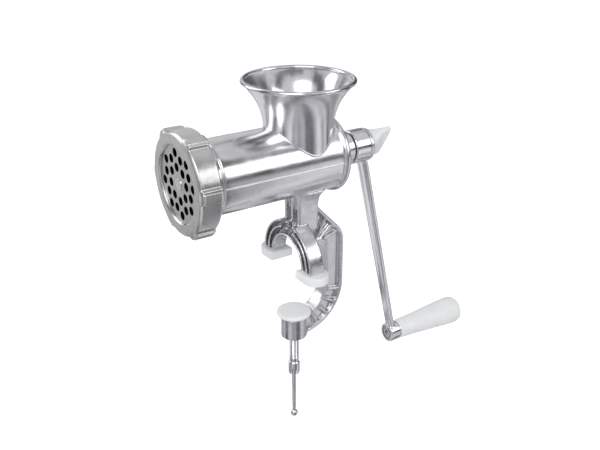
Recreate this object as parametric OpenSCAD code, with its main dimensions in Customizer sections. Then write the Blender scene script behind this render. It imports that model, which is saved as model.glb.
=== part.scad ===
// Hand crank meat grinder with a C-clamp stand, in millimetres.
// The origin is the middle of the two seat pads' undersides, on the clamp screw's axis.
// +Z is up, the barrel lies along Y, the cutting end is at -Y and the crank at +Y.

/* [Barrel] */
// Height of the barrel's axis above the seat plane
axis_h = 90; // [88:0.5:92]
// Outer radius of the barrel
barrel_r = 27.6; // [27:0.1:28]
// Radius of the bore that the worm turns in
bore_r = 23.5; // [23.3:0.1:24]
// Length of the barrel behind the clamp screw's axis
barrel_rear = 28; // [27:0.5:30]
// Radius of the bead around the rear end
bead_r = 29.6; // [29:0.1:30.5]
// Outer radius of the rear bearing
bearing_r = 12.6; // [12:0.1:13]

/* [Hopper] */
// Outer radius of the hopper's mouth
mouth_r = 42.4; // [40:0.2:44]
// Height of the mouth above the seat plane
mouth_z = 151.5; // [148:0.5:155]
// Outer radius of the hopper's throat
throat_r = 25.9; // [25:0.1:26.5]
// Wall thickness of the hopper
hopper_wall = 3; // [2.4:0.1:3.4]
// Distance of the hopper's axis behind the clamp screw's axis
hopper_y = 4.6; // [3:0.2:6]

/* [Ring nut and plate] */
// Outer radius of the ring nut between its lugs
nut_r = 37.5; // [37:0.1:39]
// Radius of the ring nut's front opening
opening_r = 27.9; // [27:0.1:28.5]
// Length of the ring nut
nut_len = 17; // [16:0.5:18]
// Number of lugs around the ring nut
lug_count = 6; // [3:1:8]
// How far a lug stands out of the ring nut
lug_h = 3; // [2:0.2:4]
// Radius of the cutting plate
plate_r = 31; // [30.5:0.1:31.1]
// Thickness of the cutting plate
plate_t = 4.9; // [4:0.1:5]
// Radius of each hole in the cutting plate
hole_r = 3.25; // [2:0.05:3.4]

/* [Worm and knife] */
// Outer radius of the worm's flight
flight_r = 22.9; // [21:0.1:23]
// Radius of the worm's core
core_r = 9; // [8:0.5:12]
// Number of turns of the flight
flight_turns = 3.25; // [2:0.25:4]
// Number of knife blades
blade_count = 4; // [3:1:4]

/* [Crank] */
// Distance of the handle's axis below the barrel's axis
crank_drop = 184.7; // [150:0.5:190]
// Angle at which the arm leans outwards
arm_lean = 13; // [10:0.5:15]
// Width of the arm at the hub
arm_w_top = 12.9; // [11:0.1:14]
// Width of the arm at the handle
arm_w_low = 9; // [8:0.1:12]
// Thickness of the arm
arm_t = 5; // [4:0.1:6]
// Radius of the crank's hub
hub_r = 13.4; // [12.8:0.1:14]
// Radius of the boss that holds the handle's pin
boss_r = 8.5; // [8:0.1:10]
// Length of the grip
grip_len = 71.5; // [60:0.5:80]
// Radius of the grip at the arm
grip_r_near = 8.4; // [7.6:0.1:9]
// Radius of the grip at its free end
grip_r_far = 12.5; // [10:0.1:13]
// Angle of the thumb screw's wing from +X towards +Z
wing_turn = 58; // [0:1:90]

/* [Stand and clamp] */
// Inner radius of the arch between the feet
arch_r = 21; // [20.5:0.1:22]
// Outer radius of the arch
arch_out = 33.8; // [33:0.1:35]
// Half width of the neck
neck_half = 10.4; // [9.5:0.1:12]
// Distance of the clamp frame's outer edge from the screw's axis
spine_y = 44; // [42:0.5:46]
// Depth of the clamp frame from its outer to its inner edge
spine_depth = 18; // [16:0.5:19]
// Width of the clamp frame's rim
rim_w = 13; // [12:0.5:14]
// Radius of the clamp screw's thread
screw_r = 4; // [3.5:0.1:4.5]
// Radius of the clamp disc
disc_r = 14.1; // [13:0.1:15]
// Turn of the clamp screw's slot about its axis
slot_turn = 57; // [0:1:90]

/* [Hidden] */
$fn = 96;
eps = 0.5;                                  // how far a cutter runs past the face it cuts
cast = [0.78, 0.78, 0.79];
nut_cast = [0.75, 0.74, 0.72];
steel = [0.62, 0.63, 0.65];
dark = [0.12, 0.12, 0.13];
plastic = [0.93, 0.94, 0.94];
running = 0.06;                             // radial clearance of a turning fit

// Stations along the barrel
nut_front = -96;
nut_back = nut_front + nut_len;
lip_t = 1.9;                                // thickness of the ring nut's front lip
plate_front = nut_front + lip_t + 0.1;
plate_back = plate_front + plate_t;
head_front = -92;
head_r = 33.8;
head_seat = plate_back + 0.1;               // shoulder that the plate rests on
recess_r = plate_r + 0.25;
knife_room_r = 27;
knife_room_end = -80.5;
head_back = nut_back - 0.5;
relief_end = nut_back + 7;
relief_r = barrel_r - 1;
bead_w = 5;
bore_end = barrel_rear - 2;
bearing_end = 49;
shoulder_r = 22;                            // the rear end slopes in to here
shoulder_y = 36;
boss_root_r = 14.5;                         // root of the bearing's boss
boss_root_y = 38;
boss_neck_y = 40;
shaft_r = 8;
fibre_r = 11.4;                             // the thrust washer
fibre_t = 0.95;
bush_r = 9.6;
hub_front = bearing_end + 1.05;
hub_back = 64.3;
hub_square = 11;

// Worm
worm_front = -80;
worm_back = 22;
flight_half_angle = 26;                     // half of the angle that the flight covers
spigot_r = 4;
spigot_len = 18;
collar_r = 13;
worm_slices = 18;                           // slices for each turn of the flight
worm_faces = 20;                            // sides of the core

// Knife and its drive
knife_square = 9;
knife_back = -84;
knife_front = plate_back + 0.25;
knife_len = knife_back - knife_front;
stud_tip_r = 4.5;
key_r = 1.5;
key_pitch_r = 29.4;
key_sink = 4;                               // how far the key goes into the barrel's end
key_gap = 0.3;                              // free space round the key in the plate
knife_hub_r = 9.5;
blade = [[0, -4.5], [24, -5], [26, -1], [25, 3], [0, 4.5]];
holes_per_ring = 8;
hole_turn = 8;                              // turn of the first hole about the barrel
hole_rings = [[12.2, 0], [19, 22.5], [22.6, 0]];    // radius and added turn of each
lug_w = 10;
lug_turn = 3;                               // the nut's resting turn

// Crank
arm_len = crank_drop / cos(arm_lean);
arm_y = 61.9;                               // the arm's middle plane at the hub's axis
boss_z = axis_h - crank_drop;
boss_mid = arm_y + crank_drop * tan(arm_lean);
boss_len = 10;
boss_front = boss_mid - boss_len / 2;
boss_back = boss_mid + boss_len / 2;
grip_front = boss_back + 1.1;
grip_back = grip_front + grip_len;
pin_r = 3.5;
pin_head_r = 6;
pin_head_t = 3;
pin_socket_r = 2.6;
pin_socket_d = 2;
pin_stop_r = 5;                             // the collar that keeps the grip on its pin
pin_stop_y = 12;                            // where it starts, from the grip's far end
pin_stop_t = 3;
grip_round_r = 5;                           // rounding of the grip's far end
grip_round_y = 8;
washer_r = 13.1;
washer_t = 3;
thumb_r = 3;
thumb_len = 16;
wing_front = hub_back + 0.1 + washer_t + 0.1;
wing_back = 86;
wing_t = 6;
wing_base_r = 12;
wing_base_t = 2.6;
wing_low = 11.6;                            // half width of the wing at its base
wing_mid = 13;                              // and 7 mm up
wing_half = 15.5;                           // and at its end
wing_nick = 1.5;                            // chamfer of the wing's end, along the screw
wing_bore = 9;                              // depth of the screw in the wing

// Stand and clamp
arch_z = 7;
arch_front = -7;
arch_back = 6;
neck_front = -2;
neck_back = 16;
foot_z = 2.5;
foot_w = arch_out - arch_r;
foot_d = arch_back - arch_front;
pad_in = 17.5;
pad_half = 10;
pad_h = 7.5;
pad_round_x = 31;
rib_t = 2.2;
groove_w = 6.8;                             // the two grooves down the neck's front
groove_depth = 7;
groove_low = 30;
ridge_t = 1.7;                              // raised edges of the arch's front face
ridge_d = 8;                                // depth of the grooves between them
mid_ridge_in = 27;
mid_ridge_out = 28.6;
neck_low = 33;
neck_straight = 53;                         // the neck starts to widen here
neck_wide = 16;                             // its half width under the barrel
neck_top = 68;
web_t = 5;
rim_t = 3;
corner_y = 4.5;                             // centre of the lower corner's arcs
corner_z = -21.5;
corner_r = spine_y - corner_y;
top_corner_r = 20;
neck_fillet_r = 5.5;                        // hollow between the neck and the frame's back
neck_fillet_y = 24;
neck_fillet_z = 52;
top_corner_z = 15;
inner_corner_r = 5.5;                       // top inner corner of the clamp's gap
inner_corner_z = 13;
upper_ribs = [18, 42, 66];                  // leans of the ribs above the gap
lower_ribs = [-12, -30, -48, -66, -84];     // and of those round the lower corner
upper_rib_y = 17;                           // where the upper ribs fan out from
disc_gap = 0.6;                             // free space round the disc
lug_r = 10.75;                              // radius of the boss that the screw runs in
lug_top = -43.6;
lug_low = -62.7;
disc_top = -39.15;
disc_low = -42.5;
cup_low = -43.5;
journal_r = 3;
screw_low = -88.3;
clevis_r = 4.9;
clevis_low = -101;
slot_w = 4.3;
pivot_z = -97;
slot_top = -93.6;
cup_r = 10;
grip_washer_r = 7.6;
eye_r = 2.6;
bar_r = 1.9;
ball_r = 3.15;
ball_z = -141.1;
tommy_r = 1;

// Points on an arc about [cy, cz], from angle a to angle b, in n steps
function arc(cy, cz, r, a, b, n = 10) =
    [for (i = [0:n]) [cy + r * cos(a + (b - a) * i / n), cz + r * sin(a + (b - a) * i / n)]];

// Outer radius of the hopper at a share u of the way from the throat up to the mouth
function hopper_r(u) = throat_r + (mouth_r - throat_r) * pow(u, 2.6);
flare_z = 108;                              // where the throat starts to flare
flare_n = 14;
hopper_r_at_bead = hopper_r((axis_h + bead_r - flare_z) / (mouth_z - flare_z)) + running;

// Side outline of the clamp frame in Y and Z, drawn in by d on every side but the neck's
function frame_outline(d) = concat(
    [[neck_back, axis_h - 12]],
    [[neck_fillet_y - neck_fillet_r - d, axis_h - 12]],
    arc(neck_fillet_y, neck_fillet_z, neck_fillet_r + d, 180, 225, 5),
    arc(spine_y - top_corner_r, top_corner_z, top_corner_r - d, 45, 0, 8),
    arc(corner_y, corner_z, corner_r - d, 0, -90, 16),
    [[0, corner_z - corner_r + d]],
    [[0, corner_z - corner_r + spine_depth - d]],
    arc(corner_y, corner_z, corner_r - spine_depth + d, -90, 0, 12),
    arc(spine_y - spine_depth - inner_corner_r, inner_corner_z, inner_corner_r + d, 0, 90, 6),
    [[neck_back, inner_corner_z + inner_corner_r + d]]);

// Turns a shape drawn along +Z to lie along +Y, and moves it to the barrel's axis
module along_y(y, z = axis_h) {
    translate([0, y, z]) rotate([-90, 0, 0]) children();
}

// A rod along Y between two stations
module rod(r, y0, y1, z = axis_h) {
    along_y(y0, z) cylinder(r = r, h = y1 - y0);
}

// A square bar along Y between two stations
module square_bar(side, y0, y1) {
    along_y(y0) translate([-side / 2, -side / 2, 0]) cube([side, side, y1 - y0]);
}

// A ring nut, disc or wall extruded from a drawing in X and Z
module slab(y0, y1) {
    translate([0, y1, 0]) rotate([90, 0, 0]) linear_extrude(y1 - y0) children();
}

module barrel() {
    color(cast) difference() {
        along_y(0) rotate_extrude() polygon(concat(
            [[0, head_front], [head_r, head_front], [head_r, head_back],
             [relief_r, head_back], [relief_r, relief_end], [barrel_r, relief_end + 1],
             [barrel_r, barrel_rear]],
            [for (a = [-60:30:60]) [bead_r - bead_w / 2 + bead_w / 2 * cos(a),
                barrel_rear + bead_w / 2 + bead_w / 2 * sin(a)]],
            [[bead_r - bead_w / 2, barrel_rear + bead_w], [shoulder_r, shoulder_y],
             [boss_root_r, boss_root_y], [bearing_r, boss_neck_y], [bearing_r, bearing_end],
             [0, bearing_end]]));
        rod(recess_r, head_front - eps, head_seat);
        rod(knife_room_r, head_front - eps, knife_room_end);
        rod(bore_r, head_front, bore_end);
        rod(bush_r, bore_end - eps, bearing_end + eps);
        rod(key_r, head_front, head_seat + key_sink, axis_h + key_pitch_r);
        translate([0, hopper_y, axis_h]) cylinder(r = throat_r - hopper_wall, h = barrel_r + 1);
        difference() {
            translate([0, hopper_y, axis_h]) cylinder(r = hopper_r_at_bead, h = bead_r + 1);
            rod(barrel_r, -60, 60);
        }
    }
}

module hopper() {
    color(cast) difference() {
        translate([0, hopper_y, 0]) rotate_extrude() polygon(concat(
            [[throat_r - hopper_wall, axis_h]],
            [[throat_r, axis_h]],
            [for (i = [0:flare_n]) [hopper_r(i / flare_n),
                flare_z + (mouth_z - flare_z) * i / flare_n]],
            [for (i = [flare_n:-1:0]) [hopper_r(i / flare_n) - hopper_wall,
                flare_z + (mouth_z - flare_z) * i / flare_n]]));
        rod(barrel_r, -60, 60);
    }
}

module stand() {
    color(cast) difference() {
        union() {
            slab(arch_front, arch_back) difference() {
                translate([0, arch_z]) circle(r = arch_out);
                translate([0, arch_z]) circle(r = arch_r);
                translate([-60, arch_z - 60]) square([120, 60]);
            }
            slab(neck_front, neck_back) polygon([
                [-neck_half, neck_low], [neck_half, neck_low], [neck_half, neck_straight],
                [12, 60], [neck_wide, neck_top], [neck_wide, axis_h - 14],
                [-neck_wide, axis_h - 14], [-neck_wide, neck_top], [-12, 60],
                [-neck_half, neck_straight]]);
            for (side = [0, 1]) mirror([side, 0, 0]) translate([arch_r, arch_front, foot_z])
                cube([foot_w, foot_d, arch_z - foot_z + 0.1]);
        }
        rod(barrel_r, -60, 60);
        translate([0, 0, arch_z]) rotate([90, 0, 0]) translate([0, 0, -arch_front - ridge_d])
            difference() {
                cylinder(r = arch_out - ridge_t, h = ridge_d + 1);
                translate([0, 0, -1]) cylinder(r = arch_r + ridge_t, h = ridge_d + 3);
                translate([0, 0, -1]) difference() {
                    translate([0, 0, -1]) cylinder(r = mid_ridge_out, h = ridge_d + 3);
                    translate([0, 0, -2]) cylinder(r = mid_ridge_in, h = ridge_d + 5);
                }
                translate([-60, -60, -1]) cube([120, 60, ridge_d + 3]);
            }
        for (side = [-1, 1])
            translate([side * (rib_t + groove_w) / 2 - groove_w / 2, arch_front - eps, groove_low])
                cube([groove_w, neck_front - arch_front + groove_depth + eps,
                    axis_h - barrel_r - groove_low]);
    }
}

module clamp_frame() {
    color(cast) difference() {
        union() {
            rotate([90, 0, 90]) linear_extrude(web_t, center = true)
                polygon(frame_outline(0));
            rotate([90, 0, 90]) linear_extrude(rim_w, center = true) difference() {
                polygon(frame_outline(0));
                polygon(frame_outline(rim_t));
            }
            intersection() {
                union() {
                    for (a = upper_ribs) translate([0, upper_rib_y, upper_rib_y]) rotate([a, 0, 0])
                        translate([-rim_w / 2 + 1, 0, -rib_t / 2]) cube([rim_w - 2, 60, rib_t]);
                    for (a = lower_ribs) translate([0, corner_y, corner_z])
                        rotate([a, 0, 0]) translate([-rim_w / 2 + 1, 0, -rib_t / 2])
                            cube([rim_w - 2, 60, rib_t]);
                }
                rotate([90, 0, 90]) linear_extrude(rim_w, center = true)
                    polygon(frame_outline(0));
            }
            translate([0, 0, lug_low]) cylinder(r = lug_r, h = lug_top - lug_low);
        }
        rod(barrel_r, -60, 60);
        translate([0, 0, lug_low - eps]) cylinder(r = screw_r + running, h = 40);
        translate([0, 0, lug_top]) cylinder(r = disc_r + disc_gap, h = 12);
    }
}

// A seat pad for the right-hand foot
module seat_pad() {
    color(plastic) difference() {
        linear_extrude(pad_h) {
            translate([pad_in, -pad_half]) square([pad_round_x - pad_in, pad_half * 2]);
            translate([pad_round_x, 0]) circle(r = pad_half);
        }
        translate([arch_r, arch_front, foot_z]) cube([foot_w, foot_d, pad_h]);
    }
}

module pad_left() {
    mirror([1, 0, 0]) seat_pad();
}

module pad_right() {
    seat_pad();
}

module rear_bush() {
    color("peru") difference() {
        rod(bush_r, bore_end + 0.1, bearing_end);
        rod(shaft_r + running, bore_end - eps, bearing_end + eps);
    }
}

module thrust_washer() {
    color(dark) difference() {
        rod(fibre_r, bearing_end, bearing_end + fibre_t);
        rod(shaft_r + running, bearing_end - eps, bearing_end + 2);
    }
}

module worm() {
    sector = [for (i = [-3:3]) [flight_r * cos(i * flight_half_angle / 3),
        flight_r * sin(i * flight_half_angle / 3)]];
    color(cast) along_y(worm_front)
        linear_extrude(worm_back - worm_front, twist = -360 * flight_turns,
                slices = round(worm_slices * flight_turns), $fn = worm_faces) difference() {
            union() {
                circle(r = core_r);
                polygon(concat([[0, 0]], sector));
            }
            circle(r = spigot_r + 0.3);
        }
}

module worm_shaft() {
    color(steel) difference() {
        union() {
            rod(spigot_r, worm_back - spigot_len, worm_back);
            rod(collar_r, worm_back, bore_end - 0.1);
            rod(shaft_r, bore_end - 0.2, hub_front);
            square_bar(hub_square, hub_front - eps, hub_back - 1);
        }
        rod(thumb_r + running, hub_back - thumb_len - 2, hub_back + eps);
    }
}

module knife_stud() {
    color(steel) union() {
        rod(spigot_r, worm_front, worm_front + spigot_len);
        square_bar(knife_square, knife_front - 0.2, worm_front);
        rod(stud_tip_r, plate_front - 0.4, knife_front);
    }
}

module knife() {
    color(steel) difference() {
        union() {
            rod(knife_hub_r, knife_front, knife_back);
            for (i = [0:blade_count - 1]) along_y(knife_front) rotate([0, 0, i * 360 / blade_count])
                linear_extrude(knife_len) polygon(blade);
        }
        square_bar(knife_square, knife_front - 1, knife_back + 1);
    }
}

module cutting_plate() {
    color(nut_cast) difference() {
        rod(plate_r, plate_front, plate_back);
        rod(stud_tip_r + 0.08, plate_front - eps, plate_back + eps);
        for (i = [0:holes_per_ring - 1], ring = hole_rings) {
            turn = hole_turn + i * 360 / holes_per_ring + ring[1];
            translate([ring[0] * cos(turn), 0, ring[0] * sin(turn)])
                rod(hole_r, plate_front - eps, plate_back + eps);
        }
        rod(key_r + key_gap, plate_front - eps, plate_back + eps, axis_h + key_pitch_r);
        translate([-key_r - key_gap, plate_front - eps, axis_h + key_pitch_r])
            cube([2 * key_r + 2 * key_gap, plate_t + 2 * eps, 5]);
    }
}

module plate_key() {
    color(steel) rod(key_r, head_front + 0.3, head_seat + key_sink, axis_h + key_pitch_r);
}

module ring_nut() {
    color(nut_cast) difference() {
        union() {
            rod(nut_r, nut_front, nut_back);
            for (i = [0:lug_count - 1]) along_y(nut_front)
                rotate([0, 0, i * 360 / lug_count - lug_turn])
                translate([nut_r - 3, -lug_w / 2, 0]) cube([lug_h + 3, lug_w, nut_len]);
        }
        rod(opening_r, nut_front - eps, nut_back);
        rod(head_r + 0.2, nut_front + lip_t, nut_back + eps);
    }
}

module crank_arm() {
    color(cast) difference() {
        union() {
            rod(hub_r, hub_front, hub_back);
            rod(boss_r, boss_front, boss_back, boss_z);
            intersection() {
                translate([0, arm_y, axis_h]) rotate([-(90 - arm_lean), 0, 0])
                    translate([0, 0, -arm_t / 2]) linear_extrude(arm_t) polygon([
                        [-arm_w_top / 2, 0], [arm_w_top / 2, 0],
                        [arm_w_low / 2, arm_len], [-arm_w_low / 2, arm_len]]);
                translate([-20, hub_front, boss_z]) cube([40, 80, crank_drop]);
            }
        }
        square_bar(hub_square + 0.1, hub_front - eps, hub_back - 0.9);
        rod(thumb_r + 0.4, hub_front, hub_back + 5);
        rod(washer_r + 0.4, hub_back, hub_back + 6);
        rod(pin_r, boss_front - eps, boss_back + eps, boss_z);
        rod(pin_head_r, boss_front - eps, boss_front + pin_head_t, boss_z);
    }
}

module thumb_washer() {
    color(steel) difference() {
        rod(washer_r, hub_back + 0.1, hub_back + 0.1 + washer_t);
        rod(thumb_r + running, hub_back - eps, hub_back + 6);
    }
}

module thumb_screw() {
    color(steel) rod(thumb_r, hub_back - thumb_len, wing_front + wing_bore);
}

module thumb_wing() {
    color(plastic) difference() {
        union() {
            rod(wing_base_r, wing_front, wing_front + wing_base_t);
            along_y(wing_front) rotate([0, 0, -wing_turn]) translate([0, wing_t / 2, 0])
                rotate([90, 0, 0]) linear_extrude(wing_t) polygon([
                    [-wing_low, 0], [wing_low, 0], [wing_mid, 7],
                    [wing_half, wing_back - wing_front - wing_nick],
                    [wing_half - 1, wing_back - wing_front],
                    [-wing_half + 1, wing_back - wing_front],
                    [-wing_half, wing_back - wing_front - wing_nick], [-wing_mid, 7]]);
        }
        rod(thumb_r, wing_front - eps, wing_front + wing_bore);
    }
}

module handle_pin() {
    color(steel) difference() {
        union() {
            rod(pin_head_r, boss_front + 0.2, boss_front + pin_head_t, boss_z);
            rod(pin_r, boss_front + pin_head_t - 0.1, grip_back - pin_stop_y, boss_z);
            rod(pin_stop_r, grip_back - pin_stop_y, grip_back - pin_stop_y + pin_stop_t, boss_z);
        }
        rod(pin_socket_r, boss_front - eps, boss_front + pin_socket_d, boss_z);
    }
}

module grip_washer() {
    color(steel) difference() {
        rod(grip_washer_r, boss_back, boss_back + 1, boss_z);
        rod(pin_r, boss_back - eps, boss_back + 2, boss_z);
    }
}

module handle_grip() {
    color(plastic) difference() {
        along_y(grip_front, boss_z) rotate_extrude() polygon(concat(
            [[0, 0], [grip_r_near - 1, 0], [grip_r_near, 1]],
            [[grip_r_far, grip_len - grip_round_y]],
            [for (a = [0:15:90]) [grip_r_far - grip_round_r + grip_round_r * cos(a) + 0.01,
                grip_len - grip_round_y + grip_round_r * sin(a)]],
            [[grip_r_far - 8, grip_len - 1], [0, grip_len]]));
        rod(pin_r + running, grip_front - eps, grip_back - pin_stop_y, boss_z);
        rod(pin_stop_r + 0.3, grip_back - pin_stop_y - 0.2,
            grip_back - pin_stop_y + pin_stop_t + 0.3, boss_z);
    }
}

module clamp_pad() {
    color(plastic) difference() {
        translate([0, 0, disc_low]) cylinder(r = disc_r, h = disc_top - disc_low);
        translate([0, 0, disc_low - eps]) cylinder(r = journal_r + running, h = eps + 2.2);
    }
}

module clamp_cup() {
    color(steel) difference() {
        translate([0, 0, cup_low]) cylinder(r = cup_r, h = disc_low - cup_low);
        translate([0, 0, cup_low - eps]) cylinder(r = journal_r + running, h = 3);
    }
}

module clamp_screw() {
    color(steel) difference() {
        union() {
            translate([0, 0, screw_low]) cylinder(r = screw_r, h = cup_low - 0.1 - screw_low);
            translate([0, 0, cup_low - 1]) cylinder(r = journal_r, h = disc_low + 2 - cup_low + 1);
            translate([0, 0, clevis_low]) cylinder(r = clevis_r, h = screw_low - clevis_low);
        }
        rotate([0, 0, slot_turn]) {
            translate([-slot_w / 2, -10, clevis_low - eps])
                cube([slot_w, 20, slot_top - clevis_low + eps]);
            translate([-10, 0, pivot_z]) rotate([0, 90, 0]) cylinder(r = tommy_r, h = 20);
        }
    }
}

module tommy_pin() {
    color(steel) rotate([0, 0, slot_turn]) translate([-clevis_r + 0.3, 0, pivot_z])
        rotate([0, 90, 0]) cylinder(r = tommy_r, h = 2 * clevis_r - 0.6);
}

module tommy_bar() {
    color(steel) rotate([0, 0, slot_turn]) difference() {
        union() {
            translate([0, 0, ball_z]) cylinder(r = bar_r, h = pivot_z - ball_z);
            translate([-bar_r, 0, pivot_z]) rotate([0, 90, 0]) cylinder(r = eye_r, h = 2 * bar_r);
            translate([0, 0, ball_z]) sphere(r = ball_r);
        }
        translate([-10, 0, pivot_z]) rotate([0, 90, 0]) cylinder(r = tommy_r + running, h = 20);
    }
}

barrel();
hopper();
stand();
clamp_frame();
pad_left();
pad_right();
rear_bush();
thrust_washer();
worm();
worm_shaft();
knife_stud();
knife();
cutting_plate();
plate_key();
ring_nut();
crank_arm();
thumb_washer();
thumb_screw();
thumb_wing();
handle_pin();
grip_washer();
handle_grip();
clamp_pad();
clamp_cup();
clamp_screw();
tommy_pin();
tommy_bar();
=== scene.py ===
import math

import bmesh
import bpy
import numpy as np
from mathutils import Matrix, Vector


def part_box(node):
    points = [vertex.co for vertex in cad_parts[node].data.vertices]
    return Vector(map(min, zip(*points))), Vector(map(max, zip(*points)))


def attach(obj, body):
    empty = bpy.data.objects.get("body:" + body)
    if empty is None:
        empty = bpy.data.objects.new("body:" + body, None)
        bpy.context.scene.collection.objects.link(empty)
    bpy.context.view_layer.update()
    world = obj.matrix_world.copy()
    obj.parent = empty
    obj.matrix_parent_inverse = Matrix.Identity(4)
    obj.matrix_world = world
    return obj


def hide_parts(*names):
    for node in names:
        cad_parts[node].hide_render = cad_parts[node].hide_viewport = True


# Hand crank meat grinder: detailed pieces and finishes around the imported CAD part.
# Metres throughout, +Z up, barrel along Y, cutting end at -Y.

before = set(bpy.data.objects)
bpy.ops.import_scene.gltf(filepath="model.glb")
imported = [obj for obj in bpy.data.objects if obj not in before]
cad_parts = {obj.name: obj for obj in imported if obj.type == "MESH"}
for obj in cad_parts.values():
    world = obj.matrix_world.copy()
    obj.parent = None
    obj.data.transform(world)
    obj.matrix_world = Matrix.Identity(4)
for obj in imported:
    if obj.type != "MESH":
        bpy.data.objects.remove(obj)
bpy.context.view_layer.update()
mm = 0.001
print("frame loaded:", len(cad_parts), "nodes")


# Places taken from the frame

# The smallest x, y and z of a CAD node.
def low(node):
    return np.array(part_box(node)[0])


# The largest x, y and z of a CAD node.
def high(node):
    return np.array(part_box(node)[1])


# Half the sum of the smallest and the largest.
def centre(node):
    return (low(node) + high(node)) / 2


axisZ = centre("rear_bush")[2]  # height of the barrel's axis
hopperY = centre("hopper")[1]
pinZ = centre("handle_pin")[2]  # height of the handle's axis
pivotZ = centre("tommy_pin")[2]  # height of the pin that the tommy bar folds on


# Mesh helpers

# Fills a mesh from a point array and a quad array, welds poles and seams, turns faces outwards.
def newObject(name, points, faces, creaseAngle=35.0):
    mesh = bpy.data.meshes.new(name)
    mesh.vertices.add(len(points))
    mesh.vertices.foreach_set("co", np.asarray(points, dtype=np.float32).ravel())
    mesh.loops.add(faces.size)
    mesh.loops.foreach_set("vertex_index", faces.astype(np.int32).ravel())
    mesh.polygons.add(len(faces))
    starts = np.arange(0, faces.size, faces.shape[1], dtype=np.int32)
    mesh.polygons.foreach_set("loop_start", starts)
    mesh.update(calc_edges=True)
    mesh.validate()
    return finishMesh(name, mesh, creaseAngle)


# Welds doubled points, drops flat faces, points normals outwards and shades smooth below the
# crease angle.
def finishMesh(name, mesh, creaseAngle):
    work = bmesh.new()
    work.from_mesh(mesh)
    bmesh.ops.remove_doubles(work, verts=work.verts, dist=1e-6)
    bmesh.ops.dissolve_degenerate(work, edges=work.edges, dist=1e-7)
    bmesh.ops.recalc_face_normals(work, faces=work.faces)
    work.to_mesh(mesh)
    work.free()
    mesh.shade_smooth()
    mesh.set_sharp_from_angle(angle=math.radians(creaseAngle))
    piece = bpy.data.objects.new(name, mesh)
    bpy.context.scene.collection.objects.link(piece)
    return piece


# Quads of a rows by columns grid: corner indices (i, j), (i+1, j), (i+1, j+1), (i, j+1), wrapped
# if asked.
def gridFaces(rows, columns, wrapRows, wrapColumns):
    i = np.arange(rows if wrapRows else rows - 1)
    j = np.arange(columns if wrapColumns else columns - 1)
    i, j = np.meshgrid(i, j, indexing="ij")
    nextI = (i + 1) % rows
    nextJ = (j + 1) % columns
    quads = [i * columns + j, nextI * columns + j, nextI * columns + nextJ, i * columns + nextJ]
    return np.stack(quads, axis=-1).reshape(-1, 4)


# A piece from a rows by columns by 3 array of points.
def gridPiece(name, points, wrapRows=False, wrapColumns=True, creaseAngle=35.0):
    rows, columns = points.shape[:2]
    faces = gridFaces(rows, columns, wrapRows, wrapColumns)
    return newObject(name, points.reshape(-1, 3), faces, creaseAngle)


# Rounds each inner corner of an open outline: the corner becomes the parabola that leaves and
# joins its two sides at the radius, or at 45% of a shorter side.
def softOutline(corners, radius, steps=4):
    corners = np.array(corners, dtype=float)
    radii = np.broadcast_to(radius, len(corners))
    out = [corners[:1]]
    t = np.linspace(0, 1, steps + 1)[:, None]
    for k in range(1, len(corners) - 1):
        back = corners[k - 1] - corners[k]
        ahead = corners[k + 1] - corners[k]
        reach = min(radii[k], 0.45 * np.linalg.norm(back), 0.45 * np.linalg.norm(ahead))
        start = corners[k] + back / np.linalg.norm(back) * reach
        end = corners[k] + ahead / np.linalg.norm(ahead) * reach
        out.append((1 - t) ** 2 * start + 2 * t * (1 - t) * corners[k] + t ** 2 * end)
    out.append(corners[-1:])
    return np.concatenate(out)


# A turned piece: each outline point (radius, station), in mm, goes round the axis as (radius cos
# a, station, radius sin a). along is "Y" or "Z".
def turned(name, outline, along, x=0.0, z=0.0, segments=128, creaseAngle=35.0, y=0.0):
    outline = np.array(outline) * mm
    angle = np.linspace(0, 2 * np.pi, segments, endpoint=False)
    radius = outline[:, :1]
    station = np.repeat(outline[:, 1:], segments, axis=1)
    across = radius * np.cos(angle)
    other = radius * np.sin(angle)
    if along == "Y":
        points = np.stack([across + x, station, other + z], axis=-1)
    else:
        points = np.stack([across + x, other + y, station], axis=-1)
    return gridPiece(name, points, creaseAngle=creaseAngle)


# The piece with its modifiers worked into a new mesh; the first piece goes.
def applied(piece, name, creaseAngle=35.0):
    view = bpy.context.evaluated_depsgraph_get()
    mesh = bpy.data.meshes.new_from_object(piece.evaluated_get(view))
    bpy.data.objects.remove(piece)
    return finishMesh(name, mesh, creaseAngle)


# The piece less the cutter, as a new mesh; both first pieces go.
def cutWith(piece, cutter, name, creaseAngle=35.0):
    change = piece.modifiers.new("cut", "BOOLEAN")
    change.operation = "DIFFERENCE"
    change.solver = "EXACT"
    change.object = cutter
    piece = applied(piece, name, creaseAngle)
    bpy.data.objects.remove(cutter)
    return piece


# Parts melted into one skin as a casting is: joined, remeshed at the voxel size, then smoothed so
# that every edge and corner gets a radius.
def castTogether(parts, name, voxel, smoothing):
    work = bmesh.new()
    for part in parts:
        work.from_mesh(part.data)
        bpy.data.objects.remove(part)
    mesh = bpy.data.meshes.new(name)
    work.to_mesh(mesh)
    work.free()
    piece = bpy.data.objects.new(name, mesh)
    bpy.context.scene.collection.objects.link(piece)
    remesh = piece.modifiers.new("melt", "REMESH")
    remesh.mode = "VOXEL"
    remesh.voxel_size = voxel
    soften = piece.modifiers.new("soften", "SMOOTH")
    soften.factor = 0.5
    soften.iterations = smoothing
    return applied(piece, name, creaseAngle=180.0)


# A welded copy of a CAD node's mesh.
def copyOf(node, name):
    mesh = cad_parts[node].data.copy()
    mesh.materials.clear()
    return finishMesh(name, mesh, 35.0)


# A closed bar between two stations: corners is a closed outline of 3-D points, depth the vector
# it is carried along.
def bar(name, corners, depth):
    corners = np.array(corners)
    middle = corners.mean(axis=0)
    shape = np.stack([np.broadcast_to(middle, corners.shape), corners, corners + depth,
                      np.broadcast_to(middle + depth, corners.shape)])
    return gridPiece(name, shape)


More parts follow.
